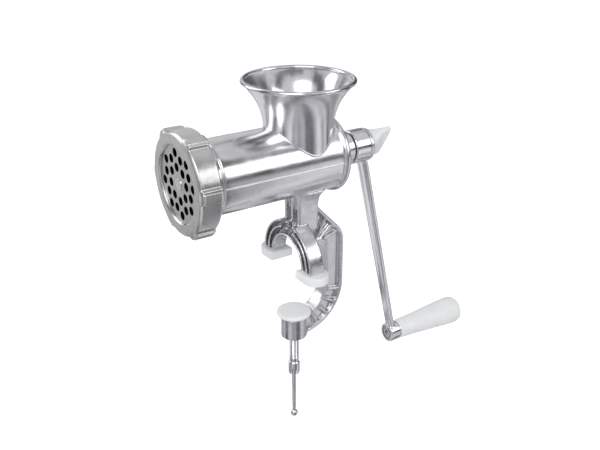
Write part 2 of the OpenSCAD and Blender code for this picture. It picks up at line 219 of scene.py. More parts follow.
# Rings of points closed at both ends by rows that stand at the first and last ring's middle.
def capped(rings):
    ones = np.ones((1, rings.shape[1], 1))
    first = rings[:1].mean(axis=1, keepdims=True)
    last = rings[-1:].mean(axis=1, keepdims=True)
    return np.concatenate([first * ones, rings, last * ones])


# A cosine or sine squared off: its size to a power, under its own sign.
def squareOff(value, power):
    return np.sign(value) * np.abs(value) ** power


# Height over its axis of a cylinder lying along Y: the root of radius squared less x squared.
def saddle(radius, x):
    return np.sqrt(radius ** 2 - x ** 2)


# Puts a finished piece on its body, in place of CAD nodes.
def place(piece, body, slot, *nodes):
    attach(piece, body)
    if nodes:
        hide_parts(*nodes)
    return piece


# Materials: everything reads Object coordinates

# Joins an output socket to an input socket.
def link(tree, source, target):
    tree.links.new(source, target)


# An empty node tree with a shader, and its Object coordinates.
def startMaterial(name):
    material = bpy.data.materials.new(name)
    material.use_nodes = True
    tree = material.node_tree
    shader = tree.nodes["Principled BSDF"]
    where = tree.nodes.new("ShaderNodeTexCoord").outputs["Object"]
    return material, tree, shader, where


# Noise over stretched coordinates, 0 to 1.
def noise(tree, where, scale, stretch=(1, 1, 1), detail=5.0, rough=0.55):
    mapping = tree.nodes.new("ShaderNodeMapping")
    mapping.inputs["Scale"].default_value = stretch
    link(tree, where, mapping.inputs["Vector"])
    texture = tree.nodes.new("ShaderNodeTexNoise")
    texture.inputs["Scale"].default_value = scale
    texture.inputs["Detail"].default_value = detail
    texture.inputs["Roughness"].default_value = rough
    link(tree, mapping.outputs["Vector"], texture.inputs["Vector"])
    return texture.outputs["Fac"]


# Value carried straight from one range to another, held at its ends.
def ranged(tree, value, fromLow, fromHigh, toLow, toHigh):
    node = tree.nodes.new("ShaderNodeMapRange")
    node.inputs["From Min"].default_value = fromLow
    node.inputs["From Max"].default_value = fromHigh
    node.inputs["To Min"].default_value = toLow
    node.inputs["To Max"].default_value = toHigh
    link(tree, value, node.inputs["Value"])
    return node.outputs["Result"]


# Two values joined by one arithmetic step.
def summed(tree, first, second, operation="ADD"):
    node = tree.nodes.new("ShaderNodeMath")
    node.operation = operation
    link(tree, first, node.inputs[0])
    link(tree, second, node.inputs[1])
    return node.outputs["Value"]


# Colour between two ends; either end may be a fixed colour or a socket.
def blendColour(tree, factor, first, second):
    node = tree.nodes.new("ShaderNodeMix")
    node.data_type = "RGBA"
    link(tree, factor, node.inputs["Factor"])
    for value, socket in ((first, node.inputs["A"]), (second, node.inputs["B"])):
        if isinstance(value, tuple):
            socket.default_value = (*value, 1.0)
        else:
            link(tree, value, socket)
    return node.outputs["Result"]


# Bump of a height field, depth in metres, over another bump.
def bump(tree, height, depth, strength, under=None):
    node = tree.nodes.new("ShaderNodeBump")
    node.inputs["Strength"].default_value = strength
    node.inputs["Distance"].default_value = depth
    link(tree, height, node.inputs["Height"])
    if under is not None:
        link(tree, under, node.inputs["Normal"])
    return node.outputs["Normal"]


# Metal: blotches of two tints, grain stretched along the way it was worked, fine pits or
# scratches, brighter rubbed edges, and painted shade that darkens the hollows.
def metalMaterial(name, look):
    material, tree, shader, where = startMaterial(name)
    blotch = noise(tree, where, look["blotchScale"], detail=3.0)
    grain = noise(tree, where, look["grainScale"], look["grainStretch"], detail=4.0, rough=0.6)
    pits = noise(tree, where, look["pitScale"], detail=2.0, rough=0.7)
    tint = ranged(tree, blotch, 0.32, 0.68, 0.0, 1.0)
    colour = blendColour(tree, tint, look["dark"], look["light"])
    worked = ranged(tree, grain, 0.3, 0.72, 0.0, look["grainTint"])
    colour = blendColour(tree, worked, colour, look["shade"])
    if look.get("edgeWear"):
        edge = tree.nodes.new("ShaderNodeNewGeometry").outputs["Pointiness"]
        rubbed = ranged(tree, edge, 0.505, 0.56, 0.0, look["edgeWear"])
        colour = blendColour(tree, rubbed, colour, look["rubbed"])
        # Painted shade: hollows, found by low pointiness, are darkened towards a near-black colour.
        paintedHollowShadeMask = ranged(tree, edge, 0.44, 0.495, look["paintedHollowShadeAmount"], 0.0)
        colour = blendColour(tree, paintedHollowShadeMask, colour, look["paintedHollowShadeColour"])
    link(tree, colour, shader.inputs["Base Color"])
    shader.inputs["Metallic"].default_value = 1.0
    blotchRough = ranged(tree, blotch, 0.3, 0.7, look["roughLow"], look["roughHigh"])
    grainRough = ranged(tree, grain, 0.25, 0.75, -look["grainRough"], look["grainRough"])
    link(tree, summed(tree, blotchRough, grainRough), shader.inputs["Roughness"])
    surface = bump(tree, grain, look["grainDepth"] * mm, 0.6)
    surface = bump(tree, pits, look["pitDepth"] * mm, 0.5, surface)
    surface = bump(tree, blotch, look["waveDepth"] * mm, 0.5, surface)
    link(tree, surface, shader.inputs["Normal"])
    return material


# Moulded plastic: faint clouding, a fine moulded grain, and light that soaks in a little.
def plasticMaterial(name, look):
    material, tree, shader, where = startMaterial(name)
    cloud = noise(tree, where, look["cloudScale"], detail=4.0)
    grain = noise(tree, where, look["grainScale"], detail=3.0)
    tint = ranged(tree, cloud, 0.3, 0.7, 0.0, 1.0)
    colour = blendColour(tree, tint, look["dark"], look["light"])
    link(tree, colour, shader.inputs["Base Color"])
    rough = ranged(tree, cloud, 0.3, 0.7, look["roughLow"], look["roughHigh"])
    link(tree, rough, shader.inputs["Roughness"])
    shader.inputs["IOR"].default_value = 1.5
    shader.inputs["Subsurface Weight"].default_value = look["soak"]
    shader.inputs["Subsurface Radius"].default_value = (1.0, 0.95, 0.9)
    shader.inputs["Subsurface Scale"].default_value = 3 * mm
    surface = bump(tree, grain, look["grainDepth"] * mm, 0.5)
    link(tree, bump(tree, cloud, look["waveDepth"] * mm, 0.4, surface), shader.inputs["Normal"])
    return material


# The hollow shade colour and amount are painted shade in the casting's hollows and creases.
castLook = {"light": (0.82, 0.82, 0.835), "dark": (0.66, 0.66, 0.685),
            "shade": (0.44, 0.44, 0.47), "rubbed": (0.86, 0.86, 0.87),
            "paintedHollowShadeColour": (0.16, 0.16, 0.18), "blotchScale": 42, "grainScale": 190,
            "grainStretch": (1, 1, 1), "grainTint": 0.22, "pitScale": 900,
            "roughLow": 0.20, "roughHigh": 0.34, "grainRough": 0.06, "grainDepth": 0.16,
            "pitDepth": 0.07, "waveDepth": 0.55, "edgeWear": 0.7, "paintedHollowShadeAmount": 0.55}
armLook = dict(castLook, light=(0.90, 0.90, 0.915), dark=(0.78, 0.78, 0.80),
               grainStretch=(1, 1, 0.15), grainScale=300, roughLow=0.13, roughHigh=0.23,
               grainDepth=0.04, pitDepth=0.02, waveDepth=0.25)
barrelLook = dict(castLook, light=(0.88, 0.875, 0.88), dark=(0.74, 0.735, 0.75),
                  grainStretch=(1, 0.12, 1), grainScale=260, roughLow=0.16, roughHigh=0.27,
                  grainDepth=0.05, pitDepth=0.02, waveDepth=0.40, edgeWear=0.0)
hopperLook = dict(castLook, light=(0.86, 0.86, 0.875), dark=(0.70, 0.70, 0.725),
                  grainStretch=(1, 1, 0.10), grainScale=300, roughLow=0.14, roughHigh=0.25,
                  grainDepth=0.05, pitDepth=0.02, waveDepth=0.50, edgeWear=0.0)
nutLook = dict(castLook, light=(0.80, 0.785, 0.765), dark=(0.66, 0.65, 0.64),
               shade=(0.40, 0.39, 0.39), grainScale=240, grainStretch=(1, 0.35, 1),
               roughLow=0.24, roughHigh=0.36, grainDepth=0.05, pitDepth=0.03, waveDepth=0.18,
               edgeWear=0.0)
plateLook = dict(nutLook, light=(0.76, 0.75, 0.73), dark=(0.62, 0.615, 0.60),
                 grainStretch=(1, 1, 0.08), grainScale=420, roughLow=0.26, roughHigh=0.38,
                 grainDepth=0.02, waveDepth=0.03)
steelLook = dict(castLook, light=(0.84, 0.84, 0.85), dark=(0.70, 0.70, 0.71),
                 shade=(0.42, 0.42, 0.43), blotchScale=120, grainScale=500,
                 grainStretch=(1, 1, 0.2), roughLow=0.16, roughHigh=0.28, grainDepth=0.015,
                 pitDepth=0.008, waveDepth=0.05, edgeWear=0.0)
# Painted shade: the knife is given a near-black colour so that the plate's holes read dark.
bladePaintedShadeLook = dict(steelLook, light=(0.13, 0.13, 0.135), dark=(0.07, 0.07, 0.075),
                 roughLow=0.4, roughHigh=0.55)
wormLook = dict(castLook, light=(0.30, 0.30, 0.31), dark=(0.19, 0.19, 0.20),
                roughLow=0.45, roughHigh=0.6)
bronzeLook = dict(steelLook, light=(0.70, 0.50, 0.28), dark=(0.52, 0.35, 0.18),
                  shade=(0.30, 0.20, 0.10), roughLow=0.3, roughHigh=0.45)
whiteLook = {"light": (0.86, 0.875, 0.875), "dark": (0.80, 0.815, 0.82), "cloudScale": 70,
             "grainScale": 1400, "roughLow": 0.32, "roughHigh": 0.46, "soak": 0.35,
             "grainDepth": 0.02, "waveDepth": 0.08}
fibreLook = dict(whiteLook, light=(0.05, 0.05, 0.052), dark=(0.03, 0.03, 0.032), soak=0.0,
                 roughLow=0.5, roughHigh=0.7, grainScale=700, grainDepth=0.05)

castMetal = metalMaterial("castMetal", castLook)
barrelMetal = metalMaterial("barrelMetal", barrelLook)
armMetal = metalMaterial("armMetal", armLook)
hopperMetal = metalMaterial("hopperMetal", hopperLook)
nutMetal = metalMaterial("nutMetal", nutLook)
plateSteel = metalMaterial("plateSteel", plateLook)
brightSteel = metalMaterial("brightSteel", steelLook)


# Paints shade on every wall that doesn't face along the barrel: the share of painted dark falls as
# the normal's Y part grows, so the drilled holes read as black shade while the ground face stays
# bright.
def paintShadeOnWalls(material, wall):
    tree = material.node_tree
    base = tree.nodes["Principled BSDF"].inputs["Base Color"]
    ground = base.links[0].from_socket
    split = tree.nodes.new("ShaderNodeSeparateXYZ")
    link(tree, tree.nodes.new("ShaderNodeNewGeometry").outputs["Normal"], split.inputs["Vector"])
    facing = summed(tree, split.outputs["Y"], split.outputs["Y"], "MULTIPLY")
    link(tree, blendColour(tree, ranged(tree, facing, 0.3, 0.9, 1.0, 0.0), ground, wall), base)


# Painted shade: the plate's hole walls and rim, and the walls of the pin head's socket, go near
# black.
paintShadeOnWalls(plateSteel, (0.05, 0.05, 0.052))
pinSteel = metalMaterial("pinSteel", steelLook)
paintShadeOnWalls(pinSteel, (0.07, 0.07, 0.075))
bladePaintedShadeSteel = metalMaterial("bladePaintedShadeSteel", bladePaintedShadeLook)
wormMetal = metalMaterial("wormMetal", wormLook)
bushBronze = metalMaterial("bushBronze", bronzeLook)
whitePlastic = plasticMaterial("whitePlastic", whiteLook)
darkFibre = plasticMaterial("darkFibre", fibreLook)
print("materials made")


# Gives a piece its one material.
def coat(piece, material):
    piece.data.materials.clear()
    piece.data.materials.append(material)
    return piece


# Barrel

# beadBack is how far the rear bead's middle stands in front of the worm shaft's end.
barrelShape = {"radius": 27.6, "reliefDrop": 1.0, "headRadius": 33.8, "beadRadius": 29.6,
               "beadBack": 32.8, "bore": 23.5, "boreEnd": 26, "seatRadius": 27,
               "lipRadius": 31.2, "bossRadius": 12.6, "bossBore": 9.6, "throatCut": 22.8,
               "throatLow": 95, "throatHigh": 125, "partingHeight": 0.55,
               "partingWidth": 0.016, "segments": 240}


# Outer and inner outline turned about the axis, with a parting bead down both sides: radius grows
# by height times a bell curve of the angle from the side.
def makeBarrel():
    shape = barrelShape
    r, head, bead = shape["radius"], shape["headRadius"], shape["beadRadius"]
    relief, lip, seatR = r - shape["reliefDrop"], shape["lipRadius"], shape["seatRadius"]
    boss, bossBore, bore = shape["bossRadius"], shape["bossBore"], shape["bore"]
    front = low("barrel")[1] / mm
    seat = low("knife")[1] / mm
    nutBack = high("ring_nut")[1] / mm
    back = high("rear_bush")[1] / mm
    beadY = high("worm_shaft")[1] / mm - shape["beadBack"]
    outline = [(seatR, seat), (lip, seat), (lip, front), (head, front), (head, nutBack - 0.6),
               (relief, nutBack - 0.5), (relief, nutBack + 6.4), (r, nutBack + 7.4),
               (r, beadY - 3.4), (bead - 0.8, beadY - 2.4), (bead, beadY - 1),
               (bead, beadY + 1), (bead - 1, beadY + 2.4), (26.6, beadY + 3.4),
               (21.5, beadY + 5.4), (14.6, beadY + 7.4), (boss, beadY + 9.6), (boss, back),
               (bossBore, back), (bossBore, shape["boreEnd"]), (bore, shape["boreEnd"]),
               (bore, nutBack - 1.4), (seatR, nutBack - 1.4)]
    radii = [0, .3, .3, .5, .3, .5, .8, .8, 1.2, 1, 1, 1, 1, 1.2, 3, 2.4, 1.6, .6, .3, .3, 2.5,
             .5, .5]
    line = softOutline(outline + outline[:1], radii + [0], steps=5)[:-1]
    line = finer(line, 4.0) * mm
    even = np.linspace(-np.pi / 2, 1.5 * np.pi, shape["segments"], endpoint=False)
    fine = np.array([-0.036, -0.024, -0.016, -0.010, -0.005, 0.005, 0.010, 0.016, 0.024, 0.036])
    # closer together where the seam is
    angle = np.unique(np.round(np.concatenate([even, fine, fine + np.pi]), 6))
    radius = np.repeat(line[:, :1], len(angle), axis=1)
    station = np.repeat(line[:, 1:], len(angle), axis=1)
    side = np.minimum(np.abs(np.sin(angle / 2)), np.abs(np.cos(angle / 2))) * 2
    bell = np.exp(-(side / shape["partingWidth"]) ** 2)
    plain = (radius > (r - 0.3) * mm) & (radius < (r + 0.3) * mm)
    radius = radius + plain * bell * shape["partingHeight"] * mm
    points = np.stack([radius * np.cos(angle), station, radius * np.sin(angle) + axisZ], axis=-1)
    body = gridPiece("castBarrelBlank", points, wrapRows=True)
    cut, cutLow, cutHigh = shape["throatCut"], shape["throatLow"], shape["throatHigh"]
    throatLine = [(0, cutLow), (cut, cutLow), (cut, cutHigh), (0, cutHigh)]
    throat = turned("throatCutter", throatLine, "Z", y=hopperY)
    return cutWith(body, throat, "castBarrel")


# An outline with no step longer than the longest, by evenly split steps.
def finer(line, longest):
    steps = np.diff(line, axis=0)
    counts = np.maximum(1, np.ceil(np.linalg.norm(steps, axis=1) / longest)).astype(int)
    parts = [line[k] + steps[k] * (np.arange(counts[k]) / counts[k])[:, None]
             for k in range(len(steps))]
    return np.concatenate(parts + [line[-1:]])


castBarrel = place(makeBarrel(), "frame", "cast_aluminium", "barrel")
coat(castBarrel, barrelMetal)
print("barrel made")


# Hopper

# The inner wall starts on boreRadius; filletRadius is that of the bead round the foot.
hopperShape = {"throat": 25.9, "mouth": 42.4, "wall": 3.0, "flareStart": 108.0, "power": 2.6,
               "rimRadius": 1.75, "sink": 0.5, "boreRadius": 23.7, "filletRadius": 0.95,
               "segments": 256}


# Throat radius plus the flare times the share of the height above the flare's start, to a power.
def hopperRadius(z):
    shape = hopperShape
    mouthZ = high("hopper")[2] / mm
    share = np.clip((z - shape["flareStart"]) / (mouthZ - shape["flareStart"]), 0, 1)
    return shape["throat"] + (shape["mouth"] - shape["throat"]) * share ** shape["power"]


# Outer wall up, rolled rim round, inner wall down. Both walls start on the barrel: at angle a the
# barrel's top is at the root of barrel radius squared less the square of radius cos a.
def makeHopper():
    shape = hopperShape
    mouthZ = high("hopper")[2] / mm
    axisHeight = axisZ / mm
    angle = np.linspace(0, 2 * np.pi, shape["segments"], endpoint=False)
    climb = np.linspace(0, 1, 46)[:, None]
    cosine = np.cos(angle)
    outerStart = axisHeight + saddle(barrelShape["radius"], shape["throat"] * cosine)
    outerStart = outerStart - shape["sink"]
    innerThroat = shape["throat"] - shape["wall"]
    innerStart = axisHeight + saddle(shape["boreRadius"], innerThroat * cosine)
    rim = shape["rimRadius"]
    rimCentreZ = mouthZ - rim
    outerZ = outerStart + (rimCentreZ - outerStart) * climb
    innerZ = innerStart + (rimCentreZ - innerStart) * climb[::-1]
    outerR = hopperRadius(outerZ + rim * climb) - 0.2 * climb
    innerR = hopperRadius(innerZ + rim * climb[::-1]) - shape["wall"]
    turn = np.radians(np.linspace(-20, 200, 14))[:, None]
    rimR = shape["mouth"] - rim + rim * np.cos(turn) + 0 * angle
    rimZ = rimCentreZ + rim * np.sin(turn) + 0 * angle
    radius = np.concatenate([outerR[:-1], rimR, innerR[1:]]) * mm
    height = np.concatenate([outerZ[:-1], rimZ, innerZ[1:]]) * mm
    points = np.stack([radius * cosine, radius * np.sin(angle) + hopperY, height], axis=-1)
    return gridPiece("flaredHopper", points, wrapRows=True, creaseAngle=50)


flaredHopper = place(makeHopper(), "frame", "polished_aluminium", "hopper")
coat(flaredHopper, hopperMetal)


# The fillet where the hopper meets the barrel: a thin round bead carried along the saddle curve,
# where x is the throat's radius times cos a and z is the barrel's height there.
def makeSaddleBead():
    angle = np.linspace(0, 2 * np.pi, 240, endpoint=False)[:, None]
    turn = np.linspace(0, 2 * np.pi, 12, endpoint=False)[None, :]
    throat, beadR = hopperShape["throat"], hopperShape["filletRadius"]
    rise = saddle(barrelShape["radius"], throat * np.cos(angle))
    radial = throat + beadR * np.cos(turn)
    points = np.stack([radial * np.cos(angle) * mm,
                       radial * np.sin(angle) * mm + hopperY,
                       (rise + beadR * np.sin(turn)) * mm + axisZ], axis=-1)
    return gridPiece("saddleBead", points, wrapRows=True)


coat(place(makeSaddleBead(), "frame", "polished_aluminium"), barrelMetal)
print("hopper made")


# Ring nut and plate

nutShape = {"radius": 37.5, "lugHeight": 2.95, "lugs": 6, "lugTurn": 3.0, "lugHalfWidth": 4.9,
            "opening": 27.9, "lip": 1.9, "thread": 34.0, "segments": 720}


# Turned outline whose outside grows into lugs: added height is the lug's height times a plateau
# across the lug's width, times a lower step near both ends.
def makeRingNut():
    shape = nutShape
    front, back = low("ring_nut")[1] / mm, high("ring_nut")[1] / mm
    r = shape["radius"]
    opening, thread, lipBack = shape["opening"], shape["thread"], front + shape["lip"]
    outline = [(opening, front + 0.9), (opening + 0.9, front), (r - 1.6, front),
               (r, front + 1.6), (r, front + 2.6), (r, front + 3.0), (r, back - 3.2),
               (r, back - 2.8), (r, back - 1.0), (r - 1, back), (thread, back),
               (thread, lipBack), (opening, lipBack)]
    radii = [0, .5, .8, .8, .1, .1, .1, .1, .6, .6, .3, .3, .3, 0]
    line = finer(softOutline(outline + outline[:1], radii)[:-1], 1.2)
    angle = np.linspace(0, 2 * np.pi, shape["segments"], endpoint=False)
    spacing = 2 * np.pi / shape["lugs"]
    fromLug = (angle - math.radians(shape["lugTurn"]) + spacing / 2) % spacing - spacing / 2
    across = np.abs(fromLug) * r / shape["lugHalfWidth"]
    plateau = 1 / (1 + across ** 30)
    crown = 1 / (1 + (across / 0.55) ** 30)
    along = (line[:, 1:] - front) / (back - front)
    ends = np.clip(along / 0.04, 0, 1) * np.clip((1 - along) / 0.05, 0, 1)
    step = 0.86 + 0.14 * np.clip((along - 0.12) / 0.02, 0, 1) * np.clip((0.88 - along) / 0.02, 0, 1)
    outside = np.clip((line[:, :1] - (r - 1.7)) / 1.2, 0, 1)
    growth = shape["lugHeight"] * outside * ends ** 0.35 * (0.8 * plateau + 0.2 * crown) * step
    radius = (line[:, :1] + growth) * mm
    station = np.repeat(line[:, 1:], len(angle), axis=1) * mm
    points = np.stack([radius * np.cos(angle), station, radius * np.sin(angle) + axisZ], axis=-1)
    return gridPiece("luggedNut", points, wrapRows=True, creaseAngle=32)


luggedNut = place(makeRingNut(), "nut", "nut_aluminium", "ring_nut")
coat(luggedNut, nutMetal)
print("ring nut made")


# Worm

wormShape = {"core": 9.0, "flight": 22.9, "turns": 3.25, "halfAngle": 26.0, "rows": 260,
             "segments": 120}


# Radius = core plus the flight's height times a plateau of the angle from the flight, which turns
# evenly with the station.
def makeWorm():
    shape = wormShape
    front, back = low("worm")[1], high("worm")[1]
    station = np.linspace(front, back, shape["rows"])[:, None]
    angle = np.linspace(0, 2 * np.pi, shape["segments"], endpoint=False)
    flightAt = 2 * np.pi * shape["turns"] * (station - front) / (back - front)
    away = np.abs((angle - flightAt + np.pi) % (2 * np.pi) - np.pi)
    away = away / math.radians(shape["halfAngle"])
    radius = (shape["core"] + (shape["flight"] - shape["core"]) / (1 + away ** 10)) * mm
    ends = np.zeros((1, len(angle)))
    radius = np.concatenate([ends, radius, ends])
    station = np.concatenate([station[:1], station, station[-1:]]) + 0 * radius
    points = np.stack([radius * np.cos(angle), station, radius * np.sin(-angle) + axisZ], axis=-1)
    return gridPiece("castWorm", points, creaseAngle=60)


coat(place(makeWorm(), "crank", "cast_aluminium", "worm"), wormMetal)


# Stand, legs and clamp frame: one casting

# The upper rings stop on a cylinder of the under radius, just inside the barrel's wall.
flareShape = {"halfX": 9.4, "growX": 8.5, "halfY": 7.6, "growY": 6.0, "middleY": 9.0,
              "low": 49, "rise": 18.5, "squareness": 0.5, "axis": 90, "under": 25.6}


# Level rounded-rectangle rings that widen towards the barrel: half widths grow with the square of
# the height's share.
def makeNeckFlare():
    shape = flareShape
    share = np.linspace(0, 1, 14)[:, None]
    angle = np.linspace(0, 2 * np.pi, 64, endpoint=False)[None, :]
    halfX = shape["halfX"] + shape["growX"] * share ** 2
    halfY = shape["halfY"] + shape["growY"] * share ** 2
    x = halfX * squareOff(np.cos(angle), shape["squareness"])
    y = halfY * squareOff(np.sin(angle), shape["squareness"]) + shape["middleY"]
    z = shape["low"] + shape["rise"] * share + 0 * angle
    rings = np.stack([x, y, z], axis=-1)
    wall = np.sqrt(np.maximum(shape["under"] ** 2 - x[-4:] ** 2, 1))
    rings[-4:, :, 2] = np.minimum(rings[-4:, :, 2], shape["axis"] - wall)
    return gridPiece("neckFlare", capped(rings) * mm)


standShape = {"voxel": 0.75, "smoothing": 5}


# The stand's and the clamp frame's solids with a flare under the barrel, melted into one skin
# with rounded cast edges.
def makeStandCasting():
    parts = [copyOf("stand", "standCopy"), copyOf("clamp_frame", "frameCopy"), makeNeckFlare()]
    return castTogether(parts, "castStand", standShape["voxel"] * mm, standShape["smoothing"])


castStand = makeStandCasting()
place(castStand, "frame", "cast_aluminium", "stand", "clamp_frame")
coat(castStand, castMetal)
print("stand made:", len(castStand.data.polygons), "faces")


# Seat pads

padShape = {"inner": 17.5, "half": 10.0, "roundAt": 31.0, "edge": 1.3, "height": 7.5,
            "middle": 29.0, "reach": 10.5}


# A D-shaped outline carried up in rings; near the bottom and top the rings draw in on a quarter
# circle.
def makePad(name, side):
    shape = padShape
    inner, half, roundAt = shape["inner"], shape["half"], shape["roundAt"]
    arcAngle = np.radians(np.linspace(-90, 90, 40))
    outward = np.linspace(inner, roundAt, 14)[:-1]
    inward = np.linspace(roundAt, inner, 14)[1:]
    outline = np.concatenate([
        np.stack([outward, np.full(13, -half)], 1),
        np.stack([roundAt + half * np.cos(arcAngle), half * np.sin(arcAngle)], 1),
        np.stack([inward, np.full(13, half)], 1),
        np.stack([np.full(14, inner), np.linspace(half, -half, 16)[1:-1]], 1)])
    middle = np.array([shape["middle"], 0.0])
    turn = np.radians(np.linspace(0, 90, 7))
    inset = shape["edge"] * (1 - np.sin(turn))
    level = shape["edge"] * (1 - np.cos(turn))
    insets = np.concatenate([inset, inset[::-1]])
    levels = np.concatenate([level, shape["height"] - level[::-1]])
    size = 1 - insets[:, None, None] / shape["reach"]
    flat = middle + (outline - middle) * size
    heights = np.broadcast_to(levels[:, None, None], flat.shape[:2] + (1,))
    rings = np.concatenate([flat, heights], axis=-1)
    cap = np.broadcast_to([*middle, 0.0], (1, len(outline), 3))
    lid = np.broadcast_to([*middle, shape["height"]], (1, len(outline), 3))
    rings = np.concatenate([cap, rings, lid])
    return gridPiece(name, rings * np.array([side, 1, 1]) * mm, creaseAngle=50)


coat(place(makePad("rightPad", 1), "frame", "white_plastic", "pad_right"), whitePlastic)
coat(place(makePad("leftPad", -1), "frame", "white_plastic", "pad_left"), whitePlastic)


# Crank

crankShape = {"lean": 13.0, "topWidth": 12.9, "lowWidth": 9.2, "thickness": 5.0,
              "middleY": 61.9, "drop": 184.7, "channel": 0.35, "hubRadius": 13.4,
              "bossRadius": 8.5, "trimRadius": 13.8, "recessRadius": 6.05, "recessDepth": 3,
              "voxel": 0.55, "smoothing": 4}


# A flat bar carried down the lean. Its section is a soft oval with a shallow channel in both
# faces: thickness is less by channel depth times a plateau across the width.
def makeArmBar():
    shape = crankShape
    lean = math.radians(shape["lean"])
    length = shape["drop"] / math.cos(lean)
    share = np.linspace(0.0, 1.0, 90)[:, None]
    angle = np.linspace(0, 2 * np.pi, 72, endpoint=False)[None, :]
    half = (shape["topWidth"] + (shape["lowWidth"] - shape["topWidth"]) * share) / 2
    across = squareOff(np.cos(angle), 0.8)
    through = squareOff(np.sin(angle), 0.62)
    channel = shape["channel"] / (1 + (across / 0.30) ** 8)
    x = half * across
    depth = through * (shape["thickness"] / 2 - channel)
    down = length * share + 0 * angle
    y = shape["middleY"] + down * math.sin(lean) + depth * math.cos(lean)
    z = axisZ / mm - down * math.cos(lean) + depth * math.sin(lean)
    return gridPiece("armBar", capped(np.stack([x, y, z], axis=-1)) * mm)


# Hub, arm and boss melted together as one casting, then trimmed where the washer sits and
# recessed for the pin's head.
def makeCrank():
    shape = crankShape
    front, back = low("crank_arm")[1] / mm, low("thumb_washer")[1] / mm
    bossFront, bossBack = low("handle_pin")[1] / mm - 0.2, low("grip_washer")[1] / mm
    hub, boss = shape["hubRadius"], shape["bossRadius"]
    hubLine = [(0, front), (hub, front), (hub, back - 0.1), (0, back - 0.1)]
    bossLine = [(0, bossFront), (boss, bossFront), (boss, bossBack), (0, bossBack)]
    parts = [turned("hubBlank", softOutline(hubLine, 0.6), "Y", z=axisZ),
             turned("bossBlank", softOutline(bossLine, 0.8), "Y", z=pinZ), makeArmBar()]
    crank = castTogether(parts, "crankBlank", shape["voxel"] * mm, shape["smoothing"])
    wide = shape["trimRadius"]
    trimLine = [(0, back - 0.1), (wide, back - 0.1), (wide, back + 7), (0, back + 7)]
    crank = cutWith(crank, turned("washerCutter", trimLine, "Y", z=axisZ), "crankTrimmed", 40)
    wide, end = shape["recessRadius"], bossFront + shape["recessDepth"]
    headLine = [(0, bossFront - 2), (wide, bossFront - 2), (wide, end), (0, end)]
    return cutWith(crank, turned("headCutter", headLine, "Y", z=pinZ), "castCrank", 40)


castCrank = place(makeCrank(), "crank", "cast_aluminium", "crank_arm")
coat(castCrank, armMetal)
print("crank made:", len(castCrank.data.polygons), "faces")


# Washers, pin and grip: softened outlines turned about their own axes.
def makeTurnedParts():
    washerY = low("thumb_washer")[1] / mm
    ring = [(3.1, washerY), (13.1, washerY), (13.1, washerY + 3), (3.1, washerY + 3)]
    ring = softOutline(ring + ring[:1], [0, .6, .9, .3, 0])[:-1]
    angle = np.linspace(0, 2 * np.pi, 160, endpoint=False)
    points = np.stack([ring[:, :1] * np.cos(angle) * mm, ring[:, 1:] * mm + 0 * angle,
                       ring[:, :1] * np.sin(angle) * mm + axisZ], axis=-1)
    washer = gridPiece("hubWasher", points, wrapRows=True)
    coat(place(washer, "wing_washer", "zinced_steel", "thumb_washer"), brightSteel)

    headY = low("handle_pin")[1] / mm
    endY = high("handle_pin")[1] / mm
    socket = [(0, headY + 2.8), (2.3, headY + 0.5), (2.5, headY + 0.1), (2.8, headY),
              (4.2, headY), (4.4, headY + 0.6), (4.9, headY + 0.6), (5.1, headY),
              (5.7, headY), (5.95, headY + 0.4), (5.95, headY + 2.8), (3.5, headY + 2.8),
              (3.5, endY - 3), (5, endY - 3), (5, endY), (0, endY)]
    pin = turned("handlePin", softOutline(socket, 0.3), "Y", z=pinZ, segments=96)
    coat(place(pin, "crank", "zinced_steel", "handle_pin"), pinSteel)

    gripY, gripEnd = low("handle_grip")[1] / mm, high("handle_grip")[1] / mm
    grip = [(0, gripY + 3), (3.6, gripY + 3), (3.6, gripY), (7.6, gripY), (8.4, gripY + 0.9),
            (9.4, gripY + 20), (12.1, gripEnd - 16), (12.48, gripEnd - 8), (12.1, gripEnd - 3.4),
            (8.6, gripEnd - 0.7), (0, gripEnd)]
    grip = softOutline(grip, [0, .3, .4, .6, .6, 8, 8, 4, 3.4, 3, 0], 8)
    body = turned("handleGrip", grip, "Y", z=pinZ)
    coat(place(body, "grip", "white_plastic", "handle_grip"), whitePlastic)


makeTurnedParts()


wingShape = {"turn": 58.0, "baseRadius": 11.9, "endHalf": 15.4, "thin": 2.6, "endInset": 1.2}


# Sections across the screw's axis: a circle at the washer that flattens into a wide thin wing;
# half width and half thickness are blended by a smooth step of the station, and the end is drawn
# in.
def makeWing():
    shape = wingShape
    front, back = low("thumb_wing")[1] / mm, high("thumb_wing")[1] / mm
    share = np.concatenate([[0, 0.02], np.linspace(0.05, 0.95, 34), [0.975, 0.99, 1.0]])[:, None]
    angle = np.linspace(0, 2 * np.pi, 96, endpoint=False)[None, :]
    ease = np.clip(share / 0.75, 0, 1)
    ease = ease * ease * (3 - 2 * ease)
    wide = shape["baseRadius"] + (shape["endHalf"] - shape["baseRadius"]) * ease
    thick = shape["baseRadius"] + (shape["thin"] - shape["baseRadius"]) * ease ** 0.7
    roundOff = np.where(share > 0.95, np.sqrt(np.maximum(1 - ((share - 0.95) / 0.05) ** 2, 0)), 1.0)
    startIn = np.where(share < 0.02, 0.95, 1.0)
    power = 1 - 0.45 * ease
    inset = shape["endInset"] * (1 - roundOff)
    a = (wide * startIn - inset) * squareOff(np.cos(angle), power)
    b = (thick * startIn - inset) * squareOff(np.sin(angle), power)
    turn = math.radians(shape["turn"])
    x = a * math.cos(turn) - b * math.sin(turn)
    z = a * math.sin(turn) + b * math.cos(turn)
    y = front + (back - front) * share + 0 * angle
    rings = np.stack([x * mm, y * mm, z * mm + axisZ], axis=-1)
    return gridPiece("thumbWing", capped(rings), creaseAngle=50)


coat(place(makeWing(), "wing", "white_plastic", "thumb_wing"), whitePlastic)
print("handle and thumb screw made")


# Clamp screw

screwShape = {"radius": 3.98, "pitch": 1.25, "threadDepth": 0.42, "clevis": 4.85,
              "clevisHeight": 12.7, "slotWidth": 4.3, "slotDepth": 7.4, "slotTurn": 57.0}


